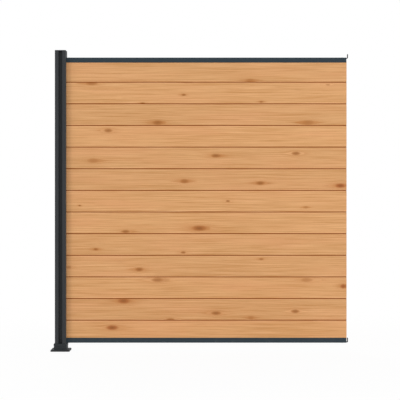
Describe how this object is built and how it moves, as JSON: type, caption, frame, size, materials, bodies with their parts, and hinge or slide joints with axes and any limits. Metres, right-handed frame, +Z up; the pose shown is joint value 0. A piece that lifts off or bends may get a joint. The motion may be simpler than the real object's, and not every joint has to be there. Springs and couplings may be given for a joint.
{
  "type": "fence bay",
  "caption": "Fence bay of horizontal tongue-and-groove boards between slim aluminium rails, on a grooved post with a bolt-down foot; end brackets take the next post.",
  "frame": {"origin": "centre of the foot plate's underside, on the ground under the post's axis", "axes": "+X along the fence away from the post, +Y to the back, +Z up"},
  "size_m": [1.878, 0.12, 1.9],
  "materials": {
    "powder_coat": "satin",
    "powder_coat_rail": "satin",
    "powder_coat_cast": "satin",
    "cap_plastic": "matte",
    "softwood": "matte",
    "bracket": "satin",
    "stainless": "satin"
  },
  "bodies": {
    "root": {"post": "powder_coat", "foot": "powder_coat_cast", "post_cap": "cap_plastic", "foot_screws": "stainless", "bottom_rail": "powder_coat_rail", "top_rail": "powder_coat_rail", "rail_screws": "stainless", "post_screws": "stainless", "bracket_bottom_left": "bracket", "bracket_bottom_right": "bracket", "bracket_top_left": "bracket", "bracket_top_right": "bracket", "board_01": "softwood", "board_02": "softwood", "board_03": "softwood", "board_04": "softwood", "board_05": "softwood", "board_06": "softwood", "board_07": "softwood", "board_08": "softwood", "board_09": "softwood", "board_10": "softwood", "board_11": "softwood", "board_12": "softwood", "board_13": "softwood"}
  },
  "joints": []
}
